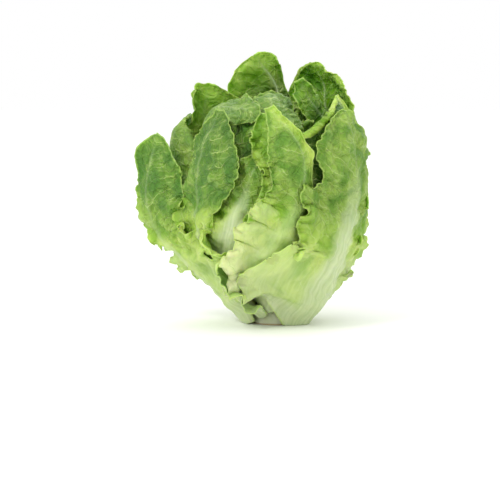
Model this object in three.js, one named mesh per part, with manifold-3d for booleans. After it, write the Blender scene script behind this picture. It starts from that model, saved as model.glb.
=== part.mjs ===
// A head of little-gem romaine lettuce, standing upright on its cut butt.
//
// Frame: millimetres, +Z up, origin at the middle of the cut face. An azimuth is measured about the
// Z axis, 0 towards -Y and growing towards +X, so azimuth 90 points along +X.
//
// A leaf is grown along its midrib, from the stump to the tip, as a grid of points half way through
// its blade. The leaves are made from the outermost to the innermost: each one is pressed under the
// ones already made, so they nest without touching. The innermost grow together in the heart.
import * as THREE from "three";
import { mergeVertices } from "three/addons/utils/BufferGeometryUtils.js";
import Module from "manifold-3d";

// ---- driving dimensions ----
const CUT_RADIUS = 14.5; // of the stem where the knife went through
const STUMP_HEIGHT = 34;
const STUMP_VANISHES = 70; // height where the stump's taper would reach zero
const STUMP_TAPER = 1.6;
const BLADE = 0.8; // thickness of a leaf's blade
const LEAF_GAP = 1.2; // clear space between one leaf and the next
const TIP_HALF_WIDTH = 2.5;
const ROUND_FROM = 0.72; // share of a leaf's length where its rounded tip begins
const MIDDLE = [0, 0, 70]; // the leaves nest about this point

// ---- grid of a leaf ----
const ROWS = 14; // cells from foot to tip, unless a leaf has its own
const ACROSS = [-1, -0.84, -0.56, -0.22, 0, 0.22, 0.56, 0.84, 1]; // shares of the half-width
const TIP_CROWDING = 1.5; // rows draw closer together towards the tip

// ---- the leaves, from the outermost to the innermost ----
// spine: knots of the midrib, foot to tip, as [azimuth in degrees, height, distance from the Z axis]
// left, right: half-widths of the blade at even steps from foot to tip, seen from outside
// wrap: how strongly the blade bends round the head, 1 follows the midrib's distance from the axis
// fold: degrees that each half is folded in at the midrib, [left, right]
// curl: degrees that each margin rolls outwards, [left, right], each a number or steps foot to tip
// ruffle: height of the waves in the margin, a number or steps foot to tip
// waves: how many from foot to tip; rib: height of the midrib at the foot
// twist: degrees that the blade is turned about the midrib, its right half outwards
// Some leaves also have their own rows, rounded (share of the length where the tip begins to round),
// band (width of the margin that curls) and slope (see SLOPE).
const LEAVES = [
  {
    name: "leaf_left_wing", slope: 2, seed: 4, rows: 24, rib: 3.8,
    ruffle: [2.5, 2.5, 2.5, 1.2, 0.8], waves: 6,
    spine: [[-88, 0, 16.8], [-89, 3, 18], [-90, 12, 28], [-91, 23, 38], [-92, 32, 49], [-93, 42, 59],
      [-93, 52, 69], [-92, 63, 75], [-91, 77, 78], [-90, 92, 76], [-88, 104, 73], [-86, 112, 69]],
    left: [12, 14, 14, 12, 10, 9, 8, 8, 8, 8, 8, 10, 8],
    right: [12, 14, 18, 24, 27, 26, 22, 21, 24, 27, 26, 25, 18],
    wrap: [1, 1, 1, 0.8, 0.5, 0.4, 0.4], fold: [0, 10], curl: [10, [0, 30, 50, 30, 0, 0, 0]],
    twist: [0, -4, -12, -25, -42, -47, -50],
  },
  {
    name: "leaf_right", slope: 1.2, seed: 1, rows: 24, rib: 4.2,
    ruffle: [2.5, 2.5, 2, 0.7, 0.5, 0.5], waves: 6,
    spine: [[58, 0, 16.5], [57, 3, 17.5], [50, 14, 30], [44, 28, 41], [49, 41, 46.5], [51, 53, 50.5],
      [55, 64, 52], [58, 76, 53], [59, 87, 53.5], [58, 99, 53.5], [58, 111, 52], [58, 121, 49.5],
      [59, 128, 47]],
    left: [12, 30, 40, 42, 36, 30, 32, 37, 31, 26, 32, 32, 18],
    right: [12, 17, 22, 27, 32, 35, 38, 38, 38, 36, 31, 23, 13],
    wrap: [1, 1, 1, 1.08, 1.1, 1.1], fold: [0, 0],
    curl: [[20, 50, 40, 20, 0, 10, 10], [10, 20, 30, 15, 5, 5, 5]],
  },
  {
    name: "leaf_back", slope: 2, seed: 7, rows: 18, rib: 4.2, ruffle: 3.5, waves: 5,
    spine: [[178, 0, 16.5], [178, 3, 17.5], [177, 12, 29], [176, 25, 40], [175, 45, 49], [174, 72, 54],
      [173, 98, 56], [172, 118, 52]],
    left: [12, 26, 36, 42, 44, 40, 28], right: [12, 26, 36, 42, 44, 40, 28],
    wrap: 1, fold: [0, 0], curl: [[20, 40, 40, 20, 20, 30, 30], [20, 40, 40, 20, 20, 30, 30]],
  },
  {
    name: "leaf_left_front", slope: 1.5, seed: 2, rows: 24, rib: 4.0,
    ruffle: [2, 2.5, 2, 0.8, 0.6, 0.6], waves: 6,
    spine: [[-60, 3, 16], [-61, 7, 18], [-64, 16, 31], [-66, 27, 40], [-68, 38, 45.5], [-65, 52, 50],
      [-63, 64, 52], [-59, 76, 53.5], [-58, 87, 54.5], [-55, 99, 54.5], [-51, 110, 53.5], [-48, 119, 49.5],
      [-46, 128, 45.5]],
    left: [12, 20, 31, 31, 28, 25, 22, 21, 19, 17, 15, 13, 8],
    right: [12, 16, 17, 22, 23, 22, 10, 14, 27, 31, 34, 26, 17],
    wrap: 1, fold: [[0, -25, -45, -45, -30, -10, 0, 0, 0, 0], 0],
    curl: [[10, 30, 40, 20, 10, 0, 0, 0], [20, 40, 30, 10, 0, 0, 0]],
  },
  {
    name: "leaf_front", slope: 1.5, seed: 3, rows: 24, rib: 4.0, ruffle: [2, 2, 1.5, 0.8, 0.6], waves: 6,
    spine: [[-14, 3, 16], [-15, 7, 18], [-14, 17, 32], [-12, 29, 41.5], [-5, 43, 47], [3, 55, 51],
      [11, 67, 52.5], [15, 78, 53.5], [16, 89, 54.5], [16, 101, 54.5], [12, 111, 53], [6, 119, 50],
      [-1, 125, 47], [-6, 130, 44]],
    left: [12, 19, 13, 17, 20, 21, 21, 19, 17, 20, 20, 14, 4],
    right: [12, 17, 21, 22, 20, 18, 13, 8, 6, 6, 5, 3, 3],
    wrap: [1, 1, 0.9, 0.8, 0.7, 0.8, 1], fold: [0, [0, 0, 15, 40, 50, 50, 40]],
    curl: [[20, 50, 40, 20, 0, 0, 0], 0],
  },
  {
    name: "leaf_right_back", slope: 1, seed: 8, rib: 3.8, ruffle: 2.5, waves: 4,
    spine: [[118, 3, 16], [118, 7, 18], [119, 16, 30], [120, 30, 41], [120, 48, 48], [120, 68, 53],
      [120, 86, 53.5], [119, 99, 52], [118, 108, 49.5]],
    left: [12, 22, 28, 34, 38, 34, 22], right: [12, 24, 34, 40, 42, 38, 26],
    wrap: 1.08, fold: [0, 0], curl: [[10, 20, 20, 10, 5, 5, 5], [10, 30, 30, 10, 10, 20, 20]],
  },
  {
    name: "leaf_left_back", slope: 2, seed: 9, rib: 3.8, ruffle: [1.5, 1.5, 1, 0.5], waves: 4, rounded: 0.86,
    spine: [[-122, 3, 16], [-122, 7, 18], [-120, 16, 30], [-118, 30, 41], [-114, 52, 50], [-108, 76, 57],
      [-101, 94, 62], [-95, 107, 64], [-91, 116, 61], [-88, 121, 55]],
    left: [12, 24, 34, 40, 42, 38, 30], right: [12, 26, 38, 43, 40, 34, 28],
    wrap: 1, fold: [0, 0], curl: [[10, 30, 30, 10, 10, 10, 10], [10, 30, 30, 10, 10, 0, 0]],
  },
  {
    name: "leaf_bright", seed: 13, rows: 24, rib: 3.2, ruffle: 2.2, waves: 7,
    spine: [[-8, 6, 15], [-8, 10, 17.5], [-7, 22, 28], [-6, 38, 38], [-5, 60, 46.5], [-3, 80, 51],
      [-3, 100, 50], [-5, 116, 45], [-10, 127, 38]],
    left: [10, 11, 10, 8, 7, 12, 15, 9, 5, 8, 12, 14, 10],
    right: [10, 14, 18, 21, 22, 22, 22, 20, 15, 10, 8, 8, 6],
    wrap: 1, fold: [0, 0], curl: [[20, 20, 20, 30, 30, 30, 20], 10],
  },
  {
    name: "leaf_front_left", seed: 5, rows: 20, rib: 3.6, ruffle: 1.5, waves: 5,
    spine: [[-36, 7, 15], [-36, 11, 18], [-38, 20, 29], [-40, 29, 37.5], [-41, 40, 42], [-36, 50, 45.5],
      [-31, 59, 47.5], [-27, 69, 48.5], [-22, 78, 49.5], [-18, 89, 50.5], [-14, 98, 51], [-11, 107, 49.5]],
    left: [11, 16, 22, 22, 16, 22, 20, 18, 12, 13, 12, 11, 8],
    right: [11, 13, 15, 17, 22, 21, 19, 15, 12, 9, 8, 8, 8],
    wrap: 1, fold: [0, 0], curl: [0, [20, 30, 20, 0, 0, 10, 20]],
  },
  {
    name: "leaf_back_right", slope: 2, seed: 10, rows: 18, rib: 3.5,
    ruffle: [1.8, 1.5, 0.6, 0.5], waves: 4, rounded: 0.84,
    spine: [[136, 7, 15], [136, 11, 18], [136, 21, 30], [135, 38, 41], [135, 62, 49], [135, 88, 52],
      [137, 110, 52], [140, 126, 51], [143, 138, 49], [146, 147, 46], [149, 154, 42]],
    left: [11, 20, 28, 34, 36, 36, 43, 38, 12], right: [11, 20, 28, 34, 36, 36, 40, 50, 38],
    wrap: [1, 1, 1, 1, 0.8, 0.7], fold: [0, 0], curl: [[0, 0, 0, 0, 0, 10, 10], 10],
    twist: [0, 0, 0, 0, 0, 6, 10],
  },
  {
    name: "leaf_crest", slope: 2, seed: 11, rows: 22, rib: 3.5, ruffle: 1.5, waves: 5, rounded: 0.8,
    spine: [[177, 7, 15], [177, 11, 18], [177, 21, 30], [177, 38, 41], [177, 62, 48], [177, 88, 51],
      [177, 114, 48], [178, 128, 45], [181, 139, 43], [187, 147, 41], [195, 153, 39], [201, 159, 37.5]],
    left: [11, 20, 28, 30, 27, 20, 11, 8, 20], right: [11, 20, 28, 34, 36, 36, 37, 38, 40],
    wrap: [1, 1, 1, 1, 0.9, 0.7, 0.6], fold: [0, 0], curl: [[0, 0, 0, 0, 10, 10, 10], 0],
    twist: [0, 0, 0, 0, -8, -26, -36],
  },
  {
    name: "leaf_back_left", seed: 12, rib: 3.5, ruffle: [1.5, 1.5, 1, 0.5], waves: 4, rounded: 0.88,
    spine: [[-112, 7, 15], [-112, 11, 18], [-113, 21, 30], [-115, 38, 41], [-118, 62, 49], [-121, 88, 52],
      [-122, 112, 51.5], [-119, 126, 50.5], [-115, 135, 48], [-111, 142, 43]],
    left: [11, 20, 28, 34, 36, 34, 30], right: [11, 20, 28, 34, 30, 18, 13],
    wrap: [1, 1, 1, 1, 0.8, 0.5], fold: [0, 0], curl: [10, 10], twist: [0, 0, 0, 0, 10, 30, 40],
  },
  {
    name: "leaf_cup", seed: 6, rows: 18, rib: 3.4, ruffle: 1.2, waves: 3, rounded: 0.9,
    spine: [[62, 7, 15], [62, 11, 18], [63, 21, 30], [65, 38, 39], [67, 60, 45], [68, 85, 47],
      [68, 107, 46.5], [68, 124, 43.5], [66, 136, 38]],
    left: [11, 20, 26, 32, 34, 38, 42, 45, 12], right: [11, 20, 26, 32, 34, 36, 28, 12, 4],
    wrap: 1, fold: [0, 0], curl: [[0, 0, 0, 0, 40, 80, 80], [0, 0, 0, 0, 0, 40, 80]], band: 7,
  },
  {
    name: "leaf_hood_left", seed: 18, rows: 18, rib: 3, ruffle: 1.5, waves: 5, rounded: 0.9,
    spine: [[-86, 11, 13.5], [-86, 15, 17], [-86, 26, 29], [-86, 44, 39], [-86, 68, 45], [-85, 94, 46],
      [-83, 115, 44], [-77, 127, 39], [-62, 129, 34.5], [-40, 128, 35], [-26, 129, 38], [-19, 125, 42]],
    left: [10, 18, 26, 30, 32, 30, 25, 11, 8], right: [10, 18, 26, 30, 32, 30, 24, 18, 15],
    wrap: 1, fold: [0, 0], curl: [0, 0],
  },
  {
    name: "leaf_inner_left", seed: 14, rib: 3.2, ruffle: 2, waves: 4,
    spine: [[-46, 11, 13.5], [-45, 15, 17], [-44, 26, 29], [-42, 44, 38], [-40, 68, 44], [-38, 92, 45],
      [-36, 112, 42], [-34, 126, 35], [-30, 133, 27]],
    left: [10, 18, 26, 30, 32, 30, 22], right: [10, 18, 26, 28, 26, 22, 16],
    wrap: 1, fold: [0, 0], curl: [0, 0],
  },
  {
    name: "leaf_hood_right", seed: 15, rows: 16, rib: 3, ruffle: 1.5, waves: 4, rounded: 0.84,
    spine: [[100, 11, 13.5], [100, 15, 17], [100, 26, 28], [99, 44, 36], [97, 68, 41], [94, 94, 40],
      [86, 112, 34], [66, 127, 25.5], [52, 137, 20.5], [45, 145, 17.5]],
    left: [10, 18, 26, 28, 22, 13, 10, 8], right: [10, 18, 26, 30, 20, 12, 9, 7],
    wrap: 1, fold: [0, 0], curl: [0, 0], twist: [0, 0, 0, 0, 10, 40, 60],
  },
  {
    name: "leaf_inner_back", seed: 16, rib: 3, ruffle: 2, waves: 4,
    spine: [[-178, 14, 12.5], [-178, 18, 16], [-178, 30, 27], [-178, 48, 35], [-178, 70, 40], [-178, 92, 40],
      [-178, 108, 36], [-178, 121, 29], [-175, 130, 22]],
    left: [10, 16, 22, 28, 30, 28, 20], right: [10, 16, 22, 28, 30, 28, 20],
    wrap: 1, fold: [0, 0], curl: [0, 0],
  },
  {
    name: "leaf_hood_front", seed: 17, rows: 18, rib: 3, ruffle: 1.2, waves: 4, rounded: 0.88,
    spine: [[4, 15, 12], [4, 19, 16], [4, 31, 27], [3, 48, 34], [1, 68, 39], [-1, 92, 41],
      [-3, 114, 39], [-5, 126, 32], [-10, 134, 22], [-40, 137, 10]],
    left: [10, 16, 22, 28, 30, 30, 26], right: [10, 16, 20, 20, 19, 17, 17],
    wrap: 1, fold: [0, 0], curl: [0, 0],
  },
];

// ---- the heart: small leaves that grow out of one core, from the outermost to the innermost ----
// core: profile as [distance from the Z axis, height]
const CORE = [[0, 37], [7, 40], [11, 52], [12, 74], [9, 92], [4, 103], [0, 105]];
const HEART_LEAVES = [
  { azimuth: -20, r: 26, top: 128, width: 17, lean: 0.9 },
  { azimuth: 100, r: 25, top: 134, width: 16, lean: 0.8 },
  { azimuth: 45, r: 25, top: 121, width: 15, lean: 1.05 },
  { azimuth: 215, r: 23, top: 134, width: 16, lean: 0.8 },
  { azimuth: 66, r: 19, top: 143, width: 13, lean: 1 },
  { azimuth: 10, r: 19, top: 125, width: 13, lean: 1.1 },
  { azimuth: 150, r: 12, top: 132, width: 12, lean: 1.1 },
];

// ---- small helpers ----
const radians = (degrees) => (degrees * Math.PI) / 180;
const clamp01 = (x) => Math.min(Math.max(x, 0), 1);
const smooth = (x) => clamp01(x) ** 2 * (3 - 2 * clamp01(x));
const add = (p, q, k = 1) => [p[0] + k * q[0], p[1] + k * q[1], p[2] + k * q[2]];
const dot = (p, q) => p[0] * q[0] + p[1] * q[1] + p[2] * q[2];
const cross = (p, q) => [p[1] * q[2] - p[2] * q[1], p[2] * q[0] - p[0] * q[2], p[0] * q[1] - p[1] * q[0]];
const unit = (p) => add([0, 0, 0], p, 1 / Math.hypot(...p));

// A fixed number from 0 to 1 for each seed and index, in place of a random draw.
function draw(seed, index) {
  const s = Math.sin(seed * 12.9898 + index * 78.233) * 43758.5453;
  return s - Math.floor(s);
}

// Smooth value at share u of evenly spaced steps, or the number itself.
function along(steps, u) {
  if (!Array.isArray(steps)) return steps;
  const last = steps.length - 1;
  const x = clamp01(u) * last;
  const k = Math.min(Math.floor(x), last - 1);
  const f = x - k;
  const [p1, p2] = [steps[k], steps[k + 1]];
  const p0 = k > 0 ? steps[k - 1] : 2 * p1 - p2;
  const p3 = k + 2 <= last ? steps[k + 2] : 2 * p2 - p1;
  const bend = 2 * p0 - 5 * p1 + 4 * p2 - p3;
  const twist = 3 * p1 - p0 - 3 * p2 + p3;
  return p1 + 0.5 * f * (p2 - p0 + f * (bend + f * twist));
}

// ---- midrib ----
// Point of the midrib at share u of its knots.
function spinePoint(spine, u) {
  const xyz = spine.map(([azimuth, z, r]) => {
    const a = radians(azimuth);
    return [r * Math.sin(a), -r * Math.cos(a), z];
  });
  return [0, 1, 2].map((axis) => along(xyz.map((p) => p[axis]), u));
}

// The midrib measured out by its length: share of length in, point and direction out.
function measuredSpine(spine) {
  const steps = 160;
  const points = [];
  const reached = [0];
  for (let k = 0; k <= steps; k++) {
    points.push(spinePoint(spine, k / steps));
    if (k > 0) reached.push(reached[k - 1] + Math.hypot(...add(points[k], points[k - 1], -1)));
  }
  const length = reached[steps];
  return {
    length,
    at(share) {
      const wanted = clamp01(share) * length;
      let k = 0;
      while (k < steps - 1 && reached[k + 1] < wanted) k++;
      const f = (wanted - reached[k]) / (reached[k + 1] - reached[k]);
      const span = add(points[k + 1], points[k], -1);
      const before = points[Math.max(k - 1, 0)];
      const after = points[Math.min(k + 2, steps)];
      return { point: add(points[k], span, f), ahead: unit(add(after, before, -1)) };
    },
  };
}

// ---- one leaf, before it is pressed under others ----
const rowShare = (leaf, row) => 1 - (1 - row / (leaf.rows ?? ROWS)) ** TIP_CROWDING;

function halfWidth(leaf, side, share) {
  const from = leaf.rounded ?? ROUND_FROM;
  const past = clamp01((share - from) / (1 - from));
  return Math.max(along(side ? leaf.right : leaf.left, share) * Math.sqrt(1 - past ** 2.2), TIP_HALF_WIDTH);
}

// Height of the waves in the margin at this place of the leaf, out of the blade.
function ruffleHeight(leaf, share, side, edge) {
  const phase = draw(leaf.seed, side > 0 ? 1 : 2);
  const main = Math.sin(2 * Math.PI * (leaf.waves * share + phase));
  const second = Math.sin(2 * Math.PI * (1.7 * leaf.waves * share + 3 * phase));
  return along(leaf.ruffle, share) * (main + 0.5 * second) * edge ** 2.5 * smooth(share / 0.15);
}

// Slow dents and swellings of the whole blade.
function dent(leaf, x, y) {
  const waves = [[1, 31, 8], [2, 23, -17], [3, -19, 26]];
  const sum = waves.map(([index, lengthX, lengthY]) =>
    Math.sin(2 * Math.PI * (x / lengthX + y / (2 * lengthY) + draw(leaf.seed, 10 + index))));
  return (leaf.dent ?? 0.8) * (sum[0] + sum[1] + sum[2]);
}

// Grid of points half way through the blade: rows from foot to tip, each from left to right.
function leafGrid(leaf) {
  const spine = measuredSpine(leaf.spine);
  const grid = [];
  for (let row = 0; row <= (leaf.rows ?? ROWS); row++) {
    const share = rowShare(leaf, row);
    const { point, ahead } = spine.at(share);
    const level = unit(cross(ahead, add(point, MIDDLE, -1)));
    const turn = radians(along(leaf.twist ?? 0, share));
    const right = add(level.map((c) => c * Math.cos(turn)), cross(level, ahead), Math.sin(turn));
    const out = cross(right, ahead);
    const radius = Math.max(Math.hypot(point[0], point[1]), CUT_RADIUS);
    grid.push(ACROSS.map((across) => {
      const side = across < 0 ? 0 : 1;
      const sign = side ? 1 : -1;
      const width = halfWidth(leaf, side, share);
      const reach = Math.abs(across) * width;
      const curl = radians(along(leaf.curl[side], share));
      const fold = radians(along(leaf.fold[side], share));
      const band = Math.min(0.45 * width, leaf.band ?? 16);
      // Walk out from the midrib, turning with the head and then rolling outwards near the margin.
      const steps = 12;
      let [sideways, inwards, heading] = [0, 0, 0];
      for (let k = 0; k < steps; k++) {
        const t = (reach * (k + 0.5)) / steps;
        heading = fold * smooth(t / 8) + (along(leaf.wrap, share) * t) / radius
          - curl * smooth((t - width + band) / band);
        sideways += (Math.cos(heading) * reach) / steps;
        inwards += (Math.sin(heading) * reach) / steps;
      }
      const lift = ruffleHeight(leaf, share, sign, Math.abs(across))
        + dent(leaf, sign * reach, share * spine.length) * smooth(share / 0.3) * smooth(reach / 8);
      const normal = add(out.map((c) => c * Math.cos(heading)), right, sign * Math.sin(heading));
      return add(add(add(point, right, sign * sideways), out, -inwards), normal, lift);
    }));
  }
  return grid;
}

// Extra thickness of the midrib on the leaf's outer side.
function ribHeight(leaf, share, reach) {
  const halfRib = 1.8 + 8 * (1 - share) ** 1.6;
  return leaf.rib * (1 - share) ** 1.3 * Math.exp(-((reach / halfRib) ** 2));
}

// ---- nesting ----
const DIRECTIONS = 20000;
const SLOPE = 0.65; // how fast the free height may grow beside a leaf that covers
const REACH = 16; // mm at the leaves' usual distance, beyond which a leaf has no effect
const USUAL_DISTANCE = 55;
const NEIGHBOURS = 0.05; // radians about a point within which directions are read
const PRESS_ROUNDS = 8;

// Directions spread evenly over the sphere, in a spiral from the top down.
const directions = Array.from({ length: DIRECTIONS }, (_, k) => {
  const z = 1 - (2 * k + 1) / DIRECTIONS;
  const turn = k * Math.PI * (3 - Math.sqrt(5));
  const r = Math.sqrt(1 - z * z);
  return [r * Math.cos(turn), r * Math.sin(turn), z];
});
// How far from the middle a leaf may reach in each direction.
const ceiling = new Float64Array(DIRECTIONS).fill(Infinity);

// Visits every direction that lies within an angle of the given one.
function around(towards, angle, visit) {
  const polar = Math.acos(towards[2]);
  const turns = (a) => ((1 - Math.cos(Math.min(Math.max(a, 0), Math.PI))) * DIRECTIONS) / 2;
  const last = Math.min(Math.ceil(turns(polar + angle)), DIRECTIONS - 1);
  const nearest = Math.cos(angle);
  for (let k = Math.max(Math.floor(turns(polar - angle)) - 1, 0); k <= last; k++) {
    const near = dot(directions[k], towards);
    if (near >= nearest) visit(k, Math.acos(Math.min(near, 1)));
  }
}

// Distance at which each direction meets a leaf's inner face, for those that do.
function meetings(face) {
  const met = new Map();
  const meet = (a, b, c) => {
    const ab = add(b, a, -1);
    const ac = add(c, a, -1);
    const normal = cross(ab, ac);
    const square = dot(normal, normal);
    const centre = unit(add(add(a, b), c));
    const widest = Math.acos(Math.min(...[a, b, c].map((p) => dot(unit(p), centre)))) + 1e-6;
    around(centre, widest, (k) => {
      const distance = dot(a, normal) / dot(directions[k], normal);
      if (!(distance > 0) || distance >= (met.get(k) ?? Infinity)) return;
      const hit = add(add([0, 0, 0], directions[k], distance), a, -1);
      const u = dot(cross(hit, ac), normal) / square;
      const v = dot(cross(ab, hit), normal) / square;
      if (u >= 0 && v >= 0 && u + v <= 1) met.set(k, distance);
    });
  };
  for (let i = 0; i + 1 < face.length; i++) {
    for (let j = 0; j + 1 < face[i].length; j++) {
      const corners = [face[i][j], face[i + 1][j], face[i + 1][j + 1], face[i][j + 1]];
      const [a, b, c, d] = corners.map((p) => add(p, MIDDLE, -1));
      meet(a, b, c);
      meet(a, c, d);
    }
  }
  return met;
}

// Lowers the ceiling under a leaf and, less and less, beside it.
function coverWith(grid, slope) {
  for (const [k, distance] of meetings(offsetFace(grid, () => -BLADE / 2))) {
    around(directions[k], REACH / USUAL_DISTANCE, (m, angle) => {
      ceiling[m] = Math.min(ceiling[m], distance + slope * USUAL_DISTANCE * angle);
    });
  }
}

// How far a point lies above what the ceiling allows.
function excess(point) {
  const ray = add(point, MIDDLE, -1);
  let free = Infinity;
  around(unit(ray), NEIGHBOURS, (k, angle) => {
    free = Math.min(free, ceiling[k] + SLOPE * USUAL_DISTANCE * angle);
  });
  return Math.hypot(...ray) - (free - LEAF_GAP);
}

// Presses a leaf in under the leaves already made, until its outer face keeps clear of them.
function press(grid, heightAt) {
  let pressed = grid;
  for (let round = 0; round < PRESS_ROUNDS; round++) {
    const face = offsetFace(pressed, (i, j) => BLADE / 2 + heightAt(i, j));
    const push = grid.map((line) => line.map(() => 0));
    const test = (i, j, k, l) => {
      if (k >= face.length || l >= face[0].length) return;
      const above = excess(add(face[i][j], add(face[k][l], face[i][j], -1), 0.5));
      push[i][j] = Math.max(push[i][j], above);
      push[k][l] = Math.max(push[k][l], above);
    };
    for (let i = 0; i < face.length; i++) {
      for (let j = 0; j < face[i].length; j++) {
        test(i, j, i, j);
        test(i, j, i + 1, j);
        test(i, j, i, j + 1);
        test(i, j, i + 1, j + 1);
      }
    }
    pressed = pressed.map((line, i) => line.map((p, j) => add(p, unit(add(p, MIDDLE, -1)), -push[i][j])));
  }
  return pressed;
}

// ---- from a grid to a closed blade ----
function offsetFace(grid, heightAt) {
  const rows = grid.length - 1;
  return grid.map((line, i) => line.map((p, j) => {
    const ahead = add(grid[Math.min(i + 1, rows)][j], grid[Math.max(i - 1, 0)][j], -1);
    const right = add(line[Math.min(j + 1, line.length - 1)], line[Math.max(j - 1, 0)], -1);
    return add(p, unit(cross(right, ahead)), heightAt(i, j));
  }));
}

// A closed thin body about the grid, thicker on its outer side by heightAt. Nothing reaches below the cut.
function bladeGeometry(grid, heightAt) {
  const rows = grid.length - 1;
  const columns = ACROSS.length;
  const onGround = (face) => face.flat().map((p) => [p[0], p[1], Math.max(p[2], 0)]);
  const inner = onGround(offsetFace(grid, () => -BLADE / 2));
  const outer = onGround(offsetFace(grid, (i, j) => BLADE / 2 + heightAt(i, j)));
  const at = (i, j) => i * columns + j;
  const shift = inner.length;
  const triangles = [];
  const quad = (a, b, c, d) => triangles.push(a, b, c, a, c, d);
  for (let i = 0; i < rows; i++) {
    for (let j = 0; j + 1 < columns; j++) {
      const [a, b, c, d] = [at(i, j), at(i, j + 1), at(i + 1, j + 1), at(i + 1, j)];
      quad(shift + a, shift + b, shift + c, shift + d);
      triangles.push(a, c, b, a, d, c);
    }
    quad(at(i, 0), shift + at(i, 0), shift + at(i + 1, 0), at(i + 1, 0));
    const last = columns - 1;
    quad(shift + at(i, last), at(i, last), at(i + 1, last), shift + at(i + 1, last));
  }
  for (let j = 0; j + 1 < columns; j++) {
    quad(at(0, j), at(0, j + 1), shift + at(0, j + 1), shift + at(0, j));
    quad(at(rows, j + 1), at(rows, j), shift + at(rows, j), shift + at(rows, j + 1));
  }
  const geometry = new THREE.BufferGeometry();
  geometry.setAttribute("position", new THREE.Float32BufferAttribute([...inner, ...outer].flat(), 3));
  geometry.setIndex(triangles);
  return geometry;
}

// ---- stump ----
const stumpRadius = (z) => CUT_RADIUS * (1 - z / STUMP_VANISHES) ** STUMP_TAPER;

function stumpGeometry() {
  const profile = [new THREE.Vector2(0, 0)];
  const steps = 5;
  for (let k = 0; k <= steps; k++) {
    const z = ((STUMP_HEIGHT - 4) * k) / steps;
    profile.push(new THREE.Vector2(stumpRadius(z), z));
  }
  profile.push(new THREE.Vector2(2.6, STUMP_HEIGHT - 1), new THREE.Vector2(0, STUMP_HEIGHT));
  const geometry = new THREE.LatheGeometry(profile, 20);
  geometry.rotateX(Math.PI / 2); // the lathe's axis is Y
  return geometry;
}

// ---- heart ----
function heartLeaf({ azimuth, r, top, width, lean }, index) {
  return {
    seed: 30 + index, rows: 8, rib: 1.5, ruffle: 2, waves: 3, rounded: 0.6,
    spine: [[azimuth, 46, 7], [azimuth, 60, 0.7 * r], [azimuth, 82, 0.95 * r], [azimuth, top - 16, r],
      [azimuth, top, lean * r]],
    left: [6, 0.8 * width, width, width, width], right: [6, 0.8 * width, width, width, width],
    wrap: 0.8, fold: [0, 0], curl: [20, 20], dent: 0.4,
  };
}

const wasm = await Module();
wasm.setup();

function toSolid(geometry) {
  const bare = new THREE.BufferGeometry();
  bare.setAttribute("position", geometry.getAttribute("position"));
  bare.setIndex(geometry.index);
  const merged = mergeVertices(bare);
  return new wasm.Manifold(new wasm.Mesh({
    numProp: 3,
    vertProperties: merged.getAttribute("position").array,
    triVerts: Uint32Array.from(merged.index.array),
  }));
}

// The core and the leaves that stand out of it, joined into one body.
function heartGeometry() {
  const core = new THREE.LatheGeometry(CORE.map(([r, z]) => new THREE.Vector2(r, z)), 10);
  core.rotateX(Math.PI / 2);
  let whole = toSolid(core);
  HEART_LEAVES.forEach((leaf, k) => {
    whole = whole.add(toSolid(grow(heartLeaf(leaf, k))));
  });
  const { vertProperties, triVerts } = whole.getMesh();
  const geometry = new THREE.BufferGeometry();
  geometry.setAttribute("position", new THREE.Float32BufferAttribute(vertProperties, 3));
  geometry.setIndex([...triVerts]);
  return geometry;
}

// ---- the head ----
const shades = { outer: 0x7fae45, inner: 0xa6cc5c, stem: 0xdfe3c0 };
const material = (colour) =>
  new THREE.MeshStandardMaterial({ color: colour, roughness: 0.55, metalness: 0, side: THREE.DoubleSide });

const head = new THREE.Group();
function addPart(name, geometry, colour) {
  const mesh = new THREE.Mesh(geometry, material(colour));
  mesh.name = name;
  head.add(mesh);
}

// The leaf's body, pressed in under the leaves made before it.
function grow(leaf) {
  const heightAt = (i, j) => {
    const share = rowShare(leaf, i);
    return ribHeight(leaf, share, Math.abs(ACROSS[j]) * halfWidth(leaf, ACROSS[j] < 0 ? 0 : 1, share));
  };
  const grid = press(leafGrid(leaf), heightAt);
  coverWith(grid, leaf.slope ?? SLOPE);
  return bladeGeometry(grid, heightAt);
}

addPart("stump", stumpGeometry(), shades.stem);
for (const leaf of LEAVES) addPart(leaf.name, grow(leaf), shades.outer);
addPart("heart", heartGeometry(), shades.inner);

export default head;
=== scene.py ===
import collections
import math

import bpy
import numpy as np
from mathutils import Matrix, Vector
from mathutils.bvhtree import BVHTree


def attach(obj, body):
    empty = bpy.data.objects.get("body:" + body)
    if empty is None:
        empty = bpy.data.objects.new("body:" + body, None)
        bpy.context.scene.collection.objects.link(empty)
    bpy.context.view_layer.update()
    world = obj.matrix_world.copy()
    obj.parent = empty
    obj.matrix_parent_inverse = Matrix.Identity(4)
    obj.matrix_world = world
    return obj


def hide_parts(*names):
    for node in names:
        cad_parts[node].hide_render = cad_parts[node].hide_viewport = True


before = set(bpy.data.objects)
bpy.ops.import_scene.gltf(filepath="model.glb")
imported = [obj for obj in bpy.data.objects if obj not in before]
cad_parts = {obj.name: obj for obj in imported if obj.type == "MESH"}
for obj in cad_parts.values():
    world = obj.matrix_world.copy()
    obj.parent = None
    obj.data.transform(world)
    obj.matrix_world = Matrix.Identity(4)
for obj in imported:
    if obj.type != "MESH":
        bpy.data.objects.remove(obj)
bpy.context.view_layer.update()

BLADE = 0.7  # thickness of a leaf between its veins
SOLID_BLADE = 0.85  # the same in a leaf's solid, where all that is thicker is its rib
CAGE_COLUMNS = 9  # points across each face of a leaf's solid
ROW_GAP = 0.8  # most that two rows of a leaf's mesh are apart
VEIN_GAP = 10  # from one side vein to the next
REACH = 12.0  # how far a leaf looks for its neighbours
ROOM_USED = 0.45  # share of the room beside a leaf that its waves may take
PLAIN_BAND = 0.8  # least width of a frilled band
RISE = 0.12  # share of a leaf's length, from its foot, over which its waves and blisters begin
FOOT_WHITE, LOW_WHITE = 34.0, 52  # how far up its foot a leaf is white, and up the head it is whitish
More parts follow.
